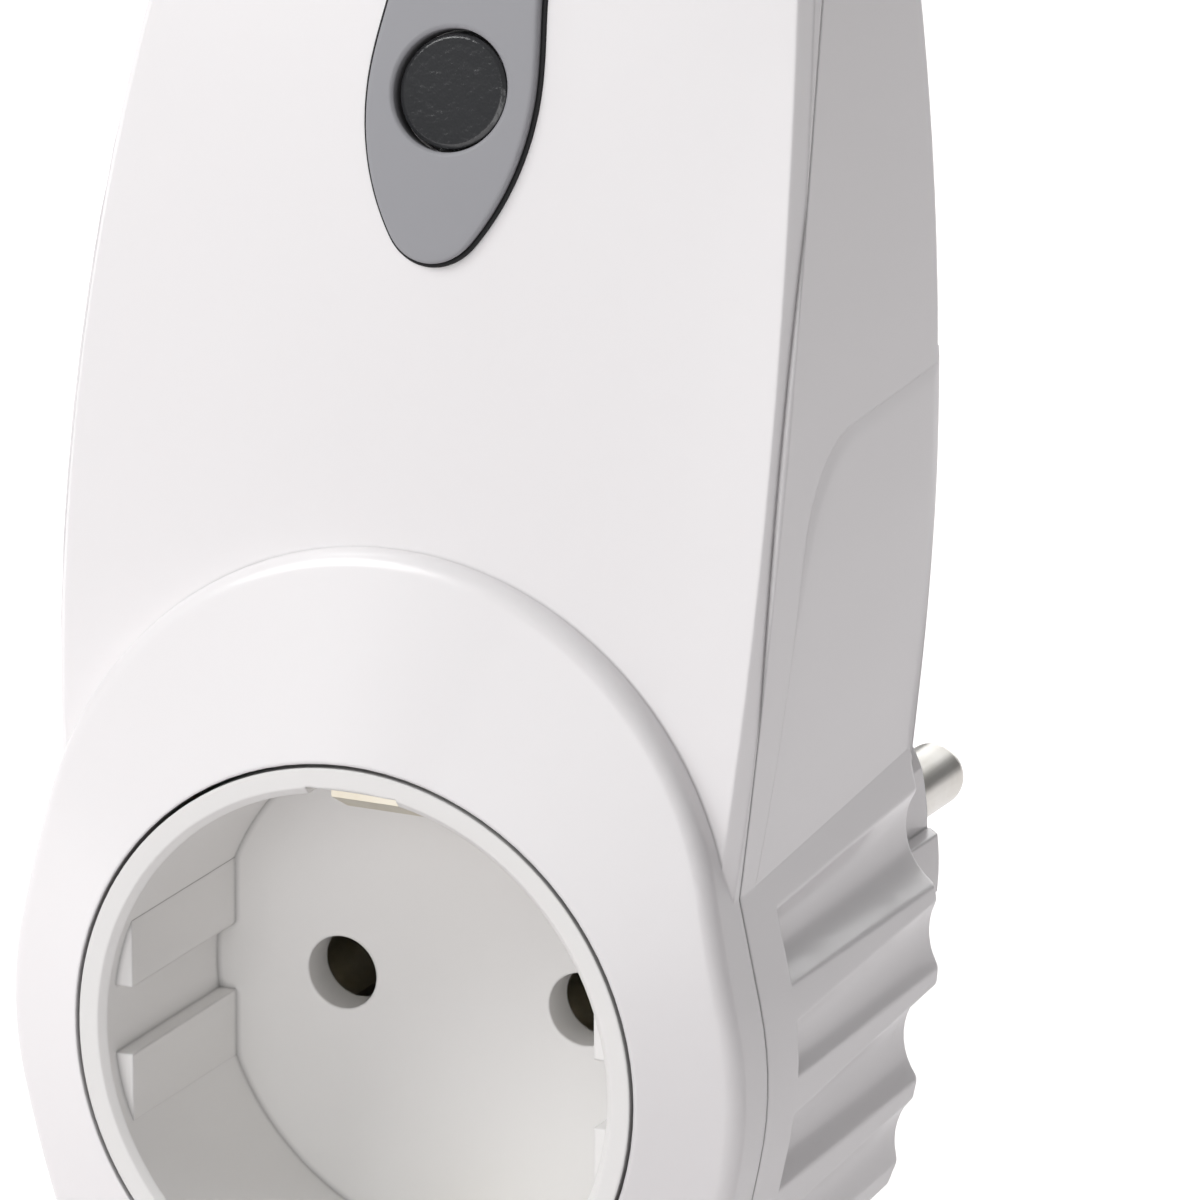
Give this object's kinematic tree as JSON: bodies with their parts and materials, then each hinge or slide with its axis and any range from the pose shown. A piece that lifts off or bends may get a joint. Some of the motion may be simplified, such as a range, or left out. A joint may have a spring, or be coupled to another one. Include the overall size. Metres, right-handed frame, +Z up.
{
  "type": "inrush current limiter",
  "caption": "Plug-through inrush current limiter: tapered white housing with a round push button, an earthed socket in a conical collar and an earthed round-pin plug on its back.",
  "frame": {"origin": "centre of the face that the plug pins stand on", "axes": "+Y out of the plug towards the wall, along the pins; +Z up, from the socket towards the button; +X to the right as seen from the front"},
  "size_m": [0.0569, 0.0785, 0.1282],
  "materials": {
    "housing_white": "smooth moulded plastic with a soft shine",
    "surround_grey": "satin grey plastic",
    "button_dark": "glossy dark grey plastic",
    "insert_white": "smooth heat-resistant plastic",
    "pin_metal": "nickel-plated brass, bright",
    "contact_metal": "tinned spring strip, satin",
    "board_green": "circuit board with a green mask",
    "relay_case": "smooth sealed case",
    "resistor_body": "cement-filled ceramic",
    "capacitor_case": "smooth box",
    "part_black": "moulded black plastic",
    "fuse_glass": "clear glass with metal caps",
    "varistor_coat": "dipped coating",
    "can_sleeve": "shrink sleeve",
    "screw_steel": "zinc-plated steel"
  },
  "bodies": {
    "housing": {"front_cover": "housing_white", "rear_shell": "housing_white", "button_surround": "surround_grey", "tact_switch": "part_black", "switch_board": "board_green", "socket_insert": "insert_white", "earth_strap": "contact_metal", "live_contact": "contact_metal", "neutral_contact": "contact_metal", "live_pin": "pin_metal", "neutral_pin": "pin_metal", "pin_carrier": "insert_white", "earth_plate_top": "contact_metal", "earth_plate_bottom": "contact_metal", "earth_bridge": "contact_metal", "live_strap": "contact_metal", "neutral_strap": "contact_metal", "circuit_board": "board_green", "relay": "relay_case", "power_resistor": "resistor_body", "mains_capacitor": "capacitor_case", "bridge_rectifier": "part_black", "fuse": "fuse_glass", "fuse_holder": "part_black", "varistor": "varistor_coat", "smoothing_capacitor": "can_sleeve", "transistor": "part_black", "case_screws": "screw_steel", "board_screws": "screw_steel"},
    "button": {"button_cap": "button_dark", "switch_plunger": "part_black"}
  },
  "joints": [
    {"name": "button_press", "type": "slide", "parent": "housing", "child": "button", "axis": [0, 0.9385, -0.3453], "range_m": [0, 0.0008], "stiffness_N_per_m": 1500, "springref_m": -0.0003}
  ]
}
